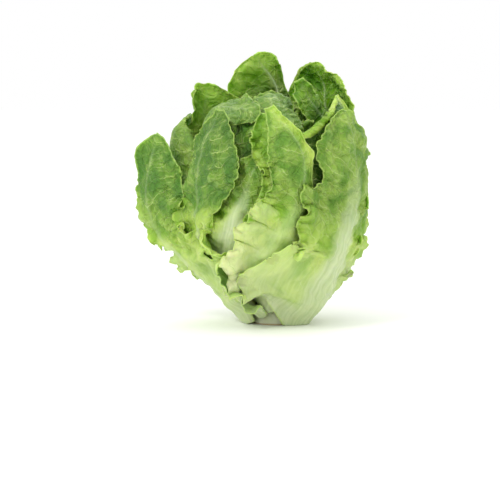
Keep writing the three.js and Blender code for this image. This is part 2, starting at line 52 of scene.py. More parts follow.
HEART_FOOT = 46  # height that the small leaves of the heart stand up from
STUMP_REACH = 14.5  # from the axis to the rim of the cut
STUMP_SIDES = 96
CAMERA_AWAY, CAMERA_UP = 1.3, math.radians(8)  # metres from the head's foot, and how far above level
VIEW_WIDE = 0.3  # metres at the head that the picture spans


# ---- numbers that vary over a leaf ----
def smooth(t):
    t = np.clip(t, 0, 1)
    return t * t * (3 - 2 * t)


def steps(values, share):
    """Values given at even steps from foot to tip, read at these shares of the length."""
    if np.isscalar(values):
        return np.full_like(share, float(values))
    return np.interp(share, np.linspace(0, 1, len(values)), values)


def unit(v):
    return v / np.maximum(np.linalg.norm(v, axis=-1, keepdims=True), 1e-9)


def through(points, knots, at):
    """A smooth line through points at those knots, read at other places along it."""
    slope = np.gradient(points, knots, axis=0)
    k = np.clip(np.searchsorted(knots, at, side="right") - 1, 0, len(knots) - 2)
    room = (knots[k + 1] - knots[k]).reshape(-1, *[1] * (points.ndim - 1))
    t = (at - knots[k]).reshape(room.shape) / room
    return ((1 + 2 * t) * (1 - t) ** 2 * points[k] + t * (1 - t) ** 2 * room * slope[k]
            + t * t * (3 - 2 * t) * points[k + 1] - t * t * (1 - t) * room * slope[k + 1])


def lengths(grid, axis):
    """How far each point of a grid is along its own row or column."""
    gaps = np.linalg.norm(np.diff(grid, axis=axis), axis=-1)
    start = np.zeros_like(np.take(gaps, [0], axis=axis))
    return np.concatenate([start, np.cumsum(gaps, axis=axis)], axis=axis)


def out_of(grid):
    """The direction out of a leaf's outer side at each point of its grid."""
    up = np.gradient(grid, axis=0)
    across = np.gradient(grid, axis=1)
    return unit(np.cross(across, up))


def blurred(values, rounds):
    for _ in range(rounds):
        for axis in (0, 1):
            padded = np.concatenate([np.take(values, [0], axis), values, np.take(values, [-1], axis)], axis)
            size = values.shape[axis]
            first, middle, last = (np.take(padded, range(k, k + size), axis) for k in range(3))
            values = (first + 2 * middle + last) / 4
    return values


# ---- a leaf's cage, read from its solid ----
def leaf_cage(node):
    """The inner and outer face of a leaf's solid in mm, as grids from foot to tip and from left to right. The
    corners of its foot are known by how many points they join, and the rest is read triangle by triangle."""
    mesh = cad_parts[node].data
    mesh.calc_loop_triangles()
    places = {}
    own = [places.setdefault(tuple(round(c * 1e7) for c in v.co), len(places)) for v in mesh.vertices]
    points = np.zeros((len(places), 3))
    for vertex, k in zip(mesh.vertices, own):
        points[k] = np.array(vertex.co) * 1000
    third = {}
    near = collections.defaultdict(set)
    for triangle in mesh.loop_triangles:
        a, b, c = (own[k] for k in triangle.vertices)
        third[a, b], third[b, c], third[c, a] = c, a, b
        near[a] |= {b, c}
        near[b] |= {a, c}
        near[c] |= {a, b}
    q = min((k for k in near if len(near[k]) == 3), key=lambda k: points[k][2])
    r = next(k for k in near[q] if len(near[k]) == 5)
    inner, outer = [[q]], [[r]]
    for _ in range(CAGE_COLUMNS - 1):
        q, r = third[q, r], third[third[q, r], r]
        inner[0].insert(0, q)
        outer[0].insert(0, r)
    for row in range(len(places) // (2 * CAGE_COLUMNS) - 1):
        for face, flip in ((outer, False), (inner, True)):
            below, above = face[row], []
            for a, b in zip(below, below[1:]):
                c = third[(b, a) if flip else (a, b)]
                d = third[(c, a) if flip else (a, c)]
                above += [c] if above else [d, c]
            face.append(above)
    return points[np.array(inner)], points[np.array(outer)]


def neighbours_of(node):
    """All other solids as one shape, to measure the room round a leaf."""
    corners, faces = [], []
    for name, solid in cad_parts.items():
        if name == node:
            continue
        solid.data.calc_loop_triangles()
        start = len(corners)
        corners += [tuple(c * 1000 for c in v.co) for v in solid.data.vertices]
        faces += [tuple(start + k for k in t.vertices) for t in solid.data.loop_triangles]
    return BVHTree.FromPolygons(corners, faces)


def room_beside(grid, normals, others, stride=3):
    """How far each point may move out and in before it meets a neighbour, at most REACH."""
    rows = np.unique(np.append(np.arange(0, grid.shape[0], stride), grid.shape[0] - 1))
    columns = np.unique(np.append(np.arange(0, grid.shape[1], stride), grid.shape[1] - 1))
    found = []
    for sign in (1, -1):
        room = np.full((len(rows), len(columns)), REACH)
        for a, i in enumerate(rows):
            for b, j in enumerate(columns):
                hit = others.ray_cast(Vector(grid[i, j]), Vector(sign * normals[i, j]), REACH)
                if hit[0] is not None:
                    room[a, b] = hit[3]
        nearest = room.copy()
        for da in (-1, 0, 1):
            for db in (-1, 0, 1):
                nearest = np.minimum(nearest, np.roll(room, (da, db), (0, 1)))
        wide = through(blurred(nearest, 1), rows.astype(float), np.arange(grid.shape[0], dtype=float))
        wide = through(np.swapaxes(wide, 0, 1), columns.astype(float), np.arange(grid.shape[1], dtype=float))
        found.append(np.clip(np.swapaxes(wide, 0, 1), 0.1, REACH))
    return found


def kept_in(move, room_out, room_in):
    """A move out of the leaf, eased so that it stays in the room that it has."""
    room = np.where(move > 0, room_out, room_in) * ROOM_USED
    return room * np.tanh(move / room)


# ---- what grows on a leaf ----
def margin_waves(along, length, seed):
    """Waves of a frilled margin, as a height and as a shift along the margin, both from -1 to 1."""
    draw = np.random.default_rng(seed).uniform(0, 2 * math.pi, 4)
    phase = 2 * math.pi * along / length + 1.1 * np.sin(2 * math.pi * along / (2.7 * length) + draw[0])
    swell = 0.68 + 0.32 * np.sin(2 * math.pi * along / (3.6 * length) + draw[1])
    return swell * np.sin(phase + draw[2]), swell * np.sin(2 * (phase + draw[2]) + 0.4)


def blisters(across, up, size, seed):
    """Soft cells between the veins: 0 at their edges and 1 at their middles."""
    cell = np.stack([across / size, up / size], -1)
    whole = np.floor(cell).astype(int)
    best = np.full((2, *across.shape), 9.0)
    for dx in (-1, 0, 1):
        for dy in (-1, 0, 1):
            x, y = whole[..., 0] + dx, whole[..., 1] + dy
            mix = np.sin(x * 127.1 + y * 311.7 + seed * 17.3) * 43758.5453
            other = np.sin(x * 269.5 + y * 183.3 + seed * 41.1) * 43758.5453
            at = np.stack([x + 0.15 + 0.7 * (mix % 1), y + 0.15 + 0.7 * (other % 1)], -1)
            away = np.linalg.norm(cell - at, axis=-1)
            best[1] = np.minimum(best[1], np.maximum(best[0], away))
            best[0] = np.minimum(best[0], away)
    return smooth((best[1] - best[0]) * 1.6)


def crumpled(across, up, seed):
    """Sharp folds of a frilly blade, about 10 mm apart and running two ways, from -1 to 1."""
    x = across + 4 * np.sin(up / 6.1 + seed) + 1.5 * np.sin(up / 2.7 + 2 * seed)
    y = up + 4 * np.sin(across / 5.3 + 1.7 * seed) + 1.5 * np.sin(across / 2.9 + seed)
    first = 1 - 2 * np.abs(np.sin(x / 3.6 + y / 7.9))
    second = 1 - 2 * np.abs(np.sin(y / 3.1 - x / 8.3 + seed))
    return 0.6 * first + 0.5 * second


def vein_count(across, up):
    """Side veins leave the midrib upwards: the number passed from the foot to this place."""
    return (up - 0.85 * np.abs(across) + 0.004 * across ** 2) / VEIN_GAP


def lobe(share, start, end):
    """A rounded lobe between two shares of the leaf's length: 0 at its ends and 1 in its middle."""
    return np.sin(np.pi * np.clip((share - start) / (end - start), 0, 1)) ** 0.7


def frill(grid, left, width, turn, step):
    """Adds a frilled band to one margin: so wide at each row, and rolled out of the leaf by that turn."""
    side = 0 if left else -1
    out = out_of(grid)[:, side]
    along = unit(np.gradient(grid[:, side], axis=0))
    away = unit(np.cross(out, along) if left else np.cross(along, out))
    wide = np.maximum(blurred(width[:, None], 3), PLAIN_BAND)
    roll = np.radians(turn)[:, None]
    count = max(3, int(np.max(wide) / step))
    point, band = grid[:, side], []
    for k in range(count):
        angle = roll * ((k + 0.5) / count)
        point = point + (wide / count) * (away * np.cos(angle) + out * np.sin(angle))
        band.append(point)
    if left:
        return np.concatenate([np.stack(band[::-1], 1), grid], 1)
    return np.concatenate([grid, np.stack(band, 1)], 1)


# ---- meshes ----
def slab_faces(face, depth):
    """Points and quads of a closed blade, from its inner side and its thickness."""
    rows, columns = face.shape[:2]
    back = face + out_of(face) * depth[..., None]
    points = np.concatenate([face.reshape(-1, 3), back.reshape(-1, 3)])
    points[:, 2] = np.maximum(points[:, 2], 0)
    at = np.arange(rows * columns).reshape(rows, columns)
    a, b, c, d = (v.ravel() for v in (at[:-1, :-1], at[:-1, 1:], at[1:, 1:], at[1:, :-1]))
    shift = rows * columns
    quads = [np.stack([shift + a, shift + b, shift + c, shift + d], 1), np.stack([a, d, c, b], 1)]
    for line in (at[0], at[:, -1], at[-1, ::-1], at[::-1, 0]):
        p, q = line[:-1], line[1:]
        quads.append(np.stack([p, q, shift + q, shift + p], 1))
    return points, np.concatenate(quads)


def made_piece(name, points, faces, marks):
    """A mesh from points in mm and faces, with its marks at the points for the finish to read."""
    mesh = bpy.data.meshes.new(name)
    mesh.from_pydata(points / 1000, [], [list(map(int, f)) for f in faces])
    for mark, values in marks.items():
        layer = mesh.attributes.new(mark, "FLOAT_VECTOR", "POINT")
        layer.data.foreach_set("vector", np.concatenate(values).astype(np.float32).ravel())
    mesh.polygons.foreach_set("use_smooth", np.ones(len(mesh.polygons), bool))
    piece = bpy.data.objects.new(name, mesh)
    bpy.context.scene.collection.objects.link(piece)
    return piece


# ---- how a leaf grows from its cage ----
LeafPlaces = collections.namedtuple("LeafPlaces", "across up share from_left from_right from_tip edge")


def fine_leaf(node, step):
    """A leaf's inner face as a fine grid, how thick its rib is there, what share of the length each row is
    at, and the column of the midrib."""
    inner, outer = leaf_cage(node)
    up_knots = lengths(inner[:, 2:7], 0).mean(1)
    across_knots = lengths(inner, 1).mean(0)
    ups = np.linspace(0, up_knots[-1], int(up_knots[-1] / min(step, ROW_GAP)) + 1)
    acrosses = np.linspace(0, across_knots[-1], int(across_knots[-1] / step) + 1)

    def fine(cage):
        tall = through(cage, up_knots, ups)
        return np.swapaxes(through(np.swapaxes(tall, 0, 1), across_knots, acrosses), 0, 1)

    thicker = np.linalg.norm(outer - inner, axis=-1) - SOLID_BLADE
    rib = np.clip(fine(thicker[..., None])[..., 0], 0, None)
    midrib = int(np.argmin(np.abs(acrosses - across_knots[CAGE_COLUMNS // 2])))
    return fine(inner), rib, ups / ups[-1], midrib


def with_frills(grid, rib, room, rows, midrib, look):
    """The leaf with frilled bands beyond its two margins, where no other leaf lies over them."""
    for side, left in (("left", True), ("right", False)):
        lobes = [one for one in look["lobes"] if one[0] == side]
        band = look["frill_" + side]
        if not lobes and band is None:
            continue
        width = steps(PLAIN_BAND if band is None else band, rows)
        for _, start, end, reach, _ in lobes:
            width = width + reach * lobe(rows, start, end)
        before = grid.shape[1]
        grid = frill(grid, left, width, steps(look["roll_" + side], rows), look["step"])
        added = grid.shape[1] - before
        pad = ((0, 0), (added, 0)) if left else ((0, 0), (0, added))
        room = [np.pad(r, pad, mode="edge") for r in room]
        rib = np.pad(rib, pad)
        midrib += added if left else 0
    return grid, rib, room, midrib


def leaf_places(grid, midrib):
    """Where each point of a grid is on the leaf, in mm from its midrib, foot, margins and tip."""
    from_left = lengths(grid, 1)
    from_right = from_left[:, -1:] - from_left
    across = from_left - from_left[:, midrib:midrib + 1]
    up = lengths(grid, 0)
    from_tip = up[-1:] - up
    up = np.repeat(up[:, midrib:midrib + 1], grid.shape[1], 1)
    edge = np.minimum(np.minimum(from_left, from_right), from_tip)
    return LeafPlaces(across, up, up / up[-1, 0], from_left, from_right, from_tip, edge)


def risen(at):
    """Nothing waves at the foot: 0 there, and 1 from an eighth of the length up."""
    return smooth(at.share / RISE)


def flesh(at):
    """The blade between the veins: 0 on the rib and foot, and 1 well away from them."""
    return smooth((at.share - RISE) / 0.35) * smooth((np.abs(at.across) - 2) / 10)


def ruffles(grid, at, look):
    """Waves of the margins, broad ones and small ones on them, and scallops of the edge: how far each point
    moves out of the leaf, along it and across it."""
    seed, wave_length = look["seed"], look["wave"]
    out, ahead, aside = (np.zeros(at.share.shape) for _ in range(3))
    for side, away, left in (("left", at.from_left, True), ("right", at.from_right, False)):
        tall = steps(look["ruffle_" + side], at.share) * risen(at)
        along = lengths(grid[:, :1] if left else grid[:, -1:], 0)
        along = along[-1:] - along
        wave, sway = margin_waves(along, wave_length, seed * 7 + left)
        small, small_sway = margin_waves(along, max(wave_length * 0.43, 4.2), seed * 11 + left)
        broad = smooth(1 - away / steps(look["ruffle_width"], at.share)) ** 1.3
        narrow = smooth(1 - away / 6.0)
        out += tall * (wave * broad + 0.5 * small * narrow)
        ahead += tall * (0.5 * sway * broad + 0.15 * small_sway * narrow)
        scallop = (0.5 + 0.5 * wave) * smooth(1 - away / 7.0) * tall * 0.55
        scallop = scallop + 0.25 * (0.5 + 0.5 * small) * smooth(1 - away / 3.5) * tall
        aside += scallop * (-1 if left else 1)
    wave, _ = margin_waves(at.across, 9.0, seed * 13)
    out += smooth(1 - at.from_tip / 10.0) * look["ruffle_tip"] * wave
    return out, ahead, aside


def puckers(at, look):
    """Blisters between the veins, 8.5 mm and 4.6 mm across, as a move into the leaf."""
    seed, off = look["seed"], np.abs(at.across)
    cells = blisters(at.across + 2.2 * np.sin(at.up / 7.3 + seed), at.up - 0.8 * off, 8.5, seed)
    small_cells = blisters(at.across + 1.1 * np.sin(at.up / 4.1 + seed), at.up - 0.6 * off, 4.6, seed + 5)
    return look["pucker"] * flesh(at) * (1.25 * cells + 0.5 * small_cells - 0.85)


def folds(at, look):
    """Sharp folds of the frilly parts, as a move out of the leaf."""
    return steps(look["crumple"], at.share) * risen(at) * crumpled(at.across, at.up, look["seed"])


def with_lobes(out, at, look):
    """The move out of the leaf with the lobes of the margins added, and how blanched those lobes are."""
    pale, wide = np.zeros(at.share.shape), look["lobe_wide"]
    brow = 0.3 * wide
    for side, start, end, _, bulge in look["lobes"]:
        away = at.from_left if side == "left" else at.from_right
        window = lobe(at.share, start, end)
        lift = np.where(away < brow, 0.72 + 0.28 * smooth(away / brow), smooth((wide - away) / (0.7 * wide)))
        out = out + bulge * window * lift
        band = smooth(3 * window) * smooth(1.6 - away / look["pale_wide"])
        pale = np.maximum(pale, band * smooth((look["pale_top"] - at.share) / 0.2))
    return out, pale


def thickness(at, rib):
    """Thickness of the leaf, with the side veins standing out of its outer side."""
    count = vein_count(at.across, at.up)
    line = np.abs(count - np.round(count)) * VEIN_GAP / 1.4
    vein = np.exp(-((line / 0.7) ** 2)) * flesh(at) * smooth(1.1 - at.share) * smooth(at.edge / 6)
    return BLADE * (0.6 + 0.4 * smooth(at.edge / 5)) + rib + 0.4 * vein


def whiteness(at, height, look):
    """White of the rib, of the leaf's foot, of its low part and of the thread that its midrib ends in."""
    rib = look["stem"] * smooth(1.5 - np.abs(at.across) / steps(look["stem_wide"], at.share))
    rib = rib * smooth((look["stem_top"] - at.share) / 0.4)
    foot = smooth((FOOT_WHITE - at.up) / 26)
    low = 0.4 * smooth((LOW_WHITE - height) / 26)
    thread = np.exp(-((at.across / 0.7) ** 2)) * smooth((1.02 - at.share) / 0.15) * look["midrib"]
    return np.maximum.reduce([rib, foot, low, thread])


def youth(at, height, pale, look):
    """How young the tissue is: 0 is grown and green, 1 is lime, and 2 is blanched cream."""
    low = smooth((look["low_top"] - height) / 34)
    frilly = smooth(1 - at.edge / look["lime_wide"]) * smooth((look["frill_lime"] - at.share) / 0.25)
    left = steps(look["lime_left"], at.share) * smooth(1.2 - at.from_left / 9)
    right = steps(look["lime_right"], at.share) * smooth(1.2 - at.from_right / 9)
    lime = np.maximum.reduce([steps(look["lime"], at.share), low, frilly, pale, left, right])
    return np.clip(lime, 0, 1) + steps(look["pale"], at.share) * pale


def dress_leaf(node, own):
    """The leaf that stands for this solid, with what its own row in LEAVES says."""
    look = {**PLAIN_LEAF, **own}
    grid, rib, rows, midrib = fine_leaf(node, look["step"])
    normals = out_of(grid)
    room = room_beside(grid + normals * 0.4, normals, neighbours_of(node))
    grid, rib, room, midrib = with_frills(grid, rib, room, rows, midrib, look)
    at = leaf_places(grid, midrib)

    out, ahead, aside = ruffles(grid, at, look)
    out = kept_in(out - puckers(at, look) + folds(at, look), *room)
    out, pale = with_lobes(out, at, look)
    along, over = (unit(np.gradient(grid, axis=axis)) for axis in (0, 1))
    grid = grid + out_of(grid) * out[..., None] + along * ahead[..., None] + over * aside[..., None]

    # marks for the finish: first those of the inner face, then those of the outer one
    height = grid[..., 2]
    stem, lime = whiteness(at, height, look), youth(at, height, pale, look)
    # painted shade: how far the finish darkens the green here, standing in for the shadow the leaf lies in
    painted_shade, dull = (steps(look[key], at.share) for key in ("painted_shade", "dull"))
    marks = {"place": [], "tone": [], "veins": []}
    passed = vein_count(at.across, at.up)
    for under, painted_shade_share in ((0.0, 1.0), (look["waxy"], look["painted_shade_outside"])):
        marks["place"].append(np.stack([at.across, at.up, at.edge], -1).reshape(-1, 3))
        marks["tone"].append(np.stack([stem, lime, np.full(stem.shape, under)], -1).reshape(-1, 3))
        marks["veins"].append(np.stack([passed, dull, painted_shade * painted_shade_share], -1).reshape(-1, 3))
    points, quads = slab_faces(grid, thickness(at, rib))
    return made_piece(node.replace("leaf_", "romaine_leaf_"), points, quads, marks)


# ---- finishes ----
def linear(sheet_colour):
    """An sRGB hex colour as Blender's linear numbers."""
    parts = [int(sheet_colour[k:k + 2], 16) / 255 for k in (1, 3, 5)]
    return [p / 12.92 if p <= 0.04045 else ((p + 0.055) / 1.055) ** 2.4 for p in parts] + [1.0]


def add(tree, kind, feeds=None, **settings):
    """Adds one node with its settings. Each feed is an input and its value, or what drives it."""
    node = tree.nodes.new(kind)
    for key, value in settings.items():
        setattr(node, key, value)
    for slot, value in (feeds or {}).items():
        if isinstance(value, bpy.types.Node):
            value = next(end for end in value.outputs if end.enabled)
        if isinstance(value, bpy.types.NodeSocket):
            tree.links.new(value, node.inputs[slot])
        else:
            node.inputs[slot].default_value = linear(value) if isinstance(value, str) else value
    return node


MIX, MATHS, RANGE, NOISE = "ShaderNodeMix", "ShaderNodeMath", "ShaderNodeMapRange", "ShaderNodeTexNoise"
FACTOR, UNDER, OVER = 0, 6, 7  # a colour mix's inputs
# a range's inputs are 0, what it reads; 1 and 2, the ends it reads between; 3 and 4, what these turn into


def romaine_blade():
    """Romaine leaf blade: thin, wet living tissue under a faint wax. The wax gives it a soft broad shine, the
    tissue lets light through, and the veins are paler than the blisters between them."""
    made = bpy.data.materials.new("romaine leaf blade")
    made.use_nodes = True
    tree = made.node_tree
    skin = tree.nodes["Principled BSDF"]
    place = add(tree, "ShaderNodeAttribute", attribute_name="place").outputs["Vector"]
    tone = add(tree, "ShaderNodeAttribute", attribute_name="tone").outputs["Vector"]
    veins = add(tree, "ShaderNodeAttribute", attribute_name="veins").outputs["Vector"]
    across, _, edge = add(tree, "ShaderNodeSeparateXYZ", {0: place}).outputs
    stem, lime, under = add(tree, "ShaderNodeSeparateXYZ", {0: tone}).outputs
    # the third of these marks is painted shade: how far the green is darkened where a leaf lies in shadow
    count, dull, painted_shade = add(tree, "ShaderNodeSeparateXYZ", {0: veins}).outputs

    # slow cloudiness, 14 mm across, and mottling of 3 mm, both in mm of the leaf
    clouds = add(tree, NOISE, {"Vector": place, "Scale": 1 / 14, "Detail": 3.0})
    cloudy = add(tree, RANGE, {0: clouds, 1: 0.32, 2: 0.68}, interpolation_type="SMOOTHSTEP")
    mottle = add(tree, NOISE, {"Vector": place, "Scale": 1 / 3, "Detail": 2.0})

    # net of small veins: cells of 4.5 mm, with lines that fade over 0.5 mm, wider than real so that they show
    bent = add(tree, NOISE, {"Vector": place, "Scale": 1 / 6}).outputs["Color"]
    flat = add(tree, "ShaderNodeVectorMath", {0: place, 1: (1.0, 1.0, 0.0)}, operation="MULTIPLY")
    pull = {0: bent, 1: (3.0, 3.0, 0.0), 2: flat}
    warped = add(tree, "ShaderNodeVectorMath", pull, operation="MULTIPLY_ADD")
    net = add(tree, "ShaderNodeTexVoronoi", {"Vector": warped, "Scale": 1 / 4.5}, feature="DISTANCE_TO_EDGE")
    net_line = add(tree, RANGE, {0: net, 1: 0.0, 2: 0.11, 3: 1.0, 4: 0.0}, interpolation_type="SMOOTHSTEP")

    # side veins, one for each VEIN_GAP, 0.5 mm wide
    wander = add(tree, MATHS, {0: clouds, 1: 1.3, 2: count}, operation="MULTIPLY_ADD")
    passed = add(tree, MATHS, {0: wander}, operation="FRACT")
    middle = add(tree, MATHS, {0: passed, 1: 0.5}, operation="SUBTRACT")
    beside = add(tree, MATHS, {0: middle}, operation="ABSOLUTE")
    side_line = add(tree, RANGE, {0: beside, 1: 0.46, 2: 0.49}, interpolation_type="SMOOTHSTEP")

    # hair veins wander between the side veins, about 5 mm apart, drawn 0.5 mm wide so that they show
    up_fan = add(tree, MATHS, {0: wander, 1: float(VEIN_GAP)}, operation="MULTIPLY")
    over_fan = add(tree, MATHS, {0: across, 1: 0.25}, operation="MULTIPLY")
    fan = add(tree, "ShaderNodeCombineXYZ", {0: up_fan, 1: over_fan})
    hair = add(tree, NOISE, {"Vector": fan, "Scale": 1 / 5, "Detail": 1.5})
    hair_off = add(tree, MATHS, {0: hair, 1: 0.5}, operation="SUBTRACT")
    hair_gap = add(tree, MATHS, {0: hair_off}, operation="ABSOLUTE")
    thin = {0: hair_gap, 1: 0.0, 2: 0.05, 3: 0.42, 4: 0.0}
    hair_line = add(tree, RANGE, thin, interpolation_type="SMOOTHSTEP")

    # the outer side is dull under its wax, the inner side fresh and of a deeper green; painted shade darkens
    # the green where a leaf lies in shadow; young tissue is lime, then cream
    outer_green = add(tree, MIX, {FACTOR: cloudy, UNDER: "#548528", OVER: "#7da534"}, data_type="RGBA")
    inner_green = add(tree, MIX, {FACTOR: cloudy, UNDER: "#4a8200", OVER: "#80b308"}, data_type="RGBA")
    bloomed = add(tree, MIX, {FACTOR: dull, UNDER: outer_green, OVER: "#74913f"}, data_type="RGBA")
    grown = add(tree, MIX, {FACTOR: under, UNDER: inner_green, OVER: bloomed}, data_type="RGBA")
    # painted shade: the green is darkened towards a near-black green as far as the mark says, standing in for
    # shadow in gaps and under other leaves
    shaded = add(tree, MIX, {FACTOR: painted_shade, UNDER: grown, OVER: "#1b4203"}, data_type="RGBA")
    spots = add(tree, RANGE, {0: mottle, 1: 0.4, 2: 0.68, 4: 0.45}, interpolation_type="SMOOTHSTEP")
    mottled = add(tree, MIX, {FACTOR: spots, UNDER: shaded, OVER: "#3f6d12"}, data_type="RGBA")
    young = add(tree, MIX, {FACTOR: cloudy, UNDER: "#80ae20", OVER: "#c0da66"}, data_type="RGBA")
    blanched = add(tree, RANGE, {0: lime, 1: 1.0, 2: 2.0})
    frills = add(tree, MIX, {FACTOR: blanched, UNDER: young, OVER: "#e2ecaa"}, data_type="RGBA")
    green = add(tree, MIX, {FACTOR: lime, UNDER: mottled, OVER: frills}, data_type="RGBA")

    # paler along the veins, white in the rib and foot, and a thin bright line at the margin: partly the paler
    # thin edge of the blade and partly a painted highlight along it
    small = add(tree, MATHS, {0: net_line, 1: 0.3}, operation="MULTIPLY")
    fine = add(tree, MATHS, {0: hair_line, 1: small}, operation="MAXIMUM")
    lines = add(tree, MATHS, {0: side_line, 1: fine}, operation="MAXIMUM")
    inside = add(tree, RANGE, {0: edge, 1: 0.5, 2: 5.0, 4: 0.75}, interpolation_type="SMOOTHSTEP")
    patchy = add(tree, RANGE, {0: clouds, 1: 0.4, 2: 0.56, 3: 0.2, 4: 1.0}, interpolation_type="SMOOTHSTEP")
    shown = add(tree, MATHS, {0: inside, 1: patchy}, operation="MULTIPLY")
    drawn = add(tree, MATHS, {0: lines, 1: shown}, operation="MULTIPLY")
    veined = add(tree, MIX, {FACTOR: drawn, UNDER: green, OVER: "#bcd37c"}, data_type="RGBA")
    stretched = add(tree, "ShaderNodeVectorMath", {0: place, 1: (1.0, 0.06, 0.0)}, operation="MULTIPLY")
    strings = add(tree, NOISE, {"Vector": stretched, "Scale": 1 / 1.6, "Detail": 2.0})
    stringy = add(tree, RANGE, {0: strings, 1: 0.2, 2: 0.8}, interpolation_type="SMOOTHSTEP")
    white = add(tree, MIX, {FACTOR: stringy, UNDER: "#b9cb92", OVER: "#d6e1b6"}, data_type="RGBA")
    ribbed = add(tree, MIX, {FACTOR: stem, UNDER: veined, OVER: white}, data_type="RGBA")
    # the rim: a painted highlight along the margin, laid over the paler thin edge of the blade
    rim = add(tree, RANGE, {0: edge, 1: 0.3, 2: 1.1, 3: 0.55, 4: 0.0}, interpolation_type="SMOOTHSTEP")
    colour = add(tree, MIX, {FACTOR: rim, UNDER: ribbed, OVER: "#bad872"}, data_type="RGBA")
    tree.links.new(colour.outputs[2], skin.inputs["Base Color"])

    gloss = add(tree, RANGE, {0: mottle, 1: 0.3, 2: 0.7, 3: 0.42, 4: 0.58})
    tree.links.new(gloss.outputs[0], skin.inputs["Roughness"])
    skin.inputs["IOR"].default_value = 1.4
    skin.inputs["Subsurface Weight"].default_value = 0.4
    skin.inputs["Subsurface Radius"].default_value = (0.7, 1.0, 0.2)
    skin.inputs["Subsurface Scale"].default_value = 0.002

    # relief of the net and the mottling, smoother on the rib
    domes = add(tree, RANGE, {0: net, 1: 0.05, 2: 0.45}, interpolation_type="SMOOTHSTEP")
    wrinkled = add(tree, MATHS, {0: hair, 1: 3.0, 2: net_line}, operation="MULTIPLY_ADD")
    rough = add(tree, MATHS, {0: mottle, 1: 1.4, 2: wrinkled}, operation="MULTIPLY_ADD")
    height = add(tree, MATHS, {0: domes, 1: -0.5, 2: rough}, operation="MULTIPLY_ADD")
    plump = add(tree, MATHS, {0: lime, 1: 0.6, 2: stem}, operation="MULTIPLY_ADD")
    soft = add(tree, RANGE, {0: plump, 3: 1.0, 4: 0.2})
    relief = add(tree, MATHS, {0: height, 1: soft}, operation="MULTIPLY")
    bump = add(tree, "ShaderNodeBump", {"Height": relief, "Strength": 0.8, "Distance": 0.0006})
    tree.links.new(bump.outputs[0], skin.inputs["Normal"])
    return made


def cut_stem():
    """Cut lettuce stem: crisp, watery tissue. It is milky green outside, and its cut face browns a little,
    from the rim inwards, as the milk dries."""
    made = bpy.data.materials.new("cut romaine stem")
    made.use_nodes = True
    tree = made.node_tree
    skin = tree.nodes["Principled BSDF"]
    where = add(tree, "ShaderNodeTexCoord").outputs["Object"]
    z = add(tree, "ShaderNodeSeparateXYZ", {0: where}).outputs[2]
    flat = add(tree, "ShaderNodeVectorMath", {0: where, 1: (1000.0, 1000.0, 0.0)}, operation="MULTIPLY")
    away = add(tree, "ShaderNodeVectorMath", {0: flat}, operation="LENGTH").outputs["Value"]
    patches = add(tree, NOISE, {"Vector": where, "Scale": 1000 / 4, "Detail": 3.0})
    wavy = add(tree, MATHS, {0: patches, 1: 3.0, 2: away}, operation="MULTIPLY_ADD")
    dried = add(tree, RANGE, {0: wavy, 1: 9.0, 2: 16.5, 4: 0.8}, interpolation_type="SMOOTHSTEP")
    face = add(tree, RANGE, {0: z, 1: 0.0004, 2: 0.0012, 3: 1.0, 4: 0.0})
    browned = add(tree, MATHS, {0: dried, 1: face}, operation="MULTIPLY")
    pale = add(tree, MIX, {FACTOR: patches, UNDER: "#c9d2a6", OVER: "#e4e6cd"}, data_type="RGBA")
    colour = add(tree, MIX, {FACTOR: browned, UNDER: pale, OVER: "#b98f63"}, data_type="RGBA")
    tree.links.new(colour.outputs[2], skin.inputs["Base Color"])
    skin.inputs["Roughness"].default_value = 0.4
    skin.inputs["IOR"].default_value = 1.38
    skin.inputs["Subsurface Weight"].default_value = 0.5
    skin.inputs["Subsurface Radius"].default_value = (1.0, 1.0, 0.6)
    skin.inputs["Subsurface Scale"].default_value = 0.003
    fibres = add(tree, NOISE, {"Vector": where, "Scale": 1000 / 1.2, "Detail": 2.0})
    bump = add(tree, "ShaderNodeBump", {"Height": fibres, "Strength": 0.5, "Distance": 0.0002})
    tree.links.new(bump.outputs[0], skin.inputs["Normal"])
    return made


# ---- how each leaf differs ----
# what a leaf has where its own row says nothing else; a list of numbers runs from its foot to its tip
PLAIN_LEAF = dict(
    step=1.0,  # from one column of its mesh to the next
    slot="leaf_green",
    stem=0.8, stem_top=0.7,  # how white its rib is, and the share of the length where that ends
    stem_wide=[10, 8, 6, 4, 2, 1, 0.6, 0.4],  # half-width of the white rib
    midrib=0.2,  # how white the thread is that the rib ends in
    waxy=1.0, dull=0.0,  # how much wax its outer side has, and how dull the wax is
    painted_shade=0.0, painted_shade_outside=1.0,  # how much painted shade darkens its green, standing in for shadow, and the share of that on its outer side
    lime=0.0, low_top=90.0,  # how young it is, and the height below which it is young in any case
    lime_wide=9.0, frill_lime=0.62,  # width of the young margin, and the share of the length where it ends
    lime_left=0.0, lime_right=0.0,  # how young a margin is over its whole length
    pale=0.4, pale_wide=11, pale_top=0.66,  # blanched lobes: how cream, how wide, and where they end
    pucker=1.0,  # height of its blisters
    crumple=0.0,  # height of its folds
    wave=12.0,  # from one wave of a margin to the next
    ruffle_left=1.0, ruffle_right=1.0, ruffle_tip=0.8,  # height of the waves
    ruffle_width=14.0,  # how far in from the margin they reach
    frill_left=None, frill_right=None,  # width of the frilled band beyond a margin
    roll_left=20, roll_right=20,  # degrees that the band is rolled out of the leaf
    lobe_wide=18,  # how far in from the margin a lobe is lifted
    lobes=(),  # each lobe: its margin, the shares of the length that it runs between, its reach and its lift
)
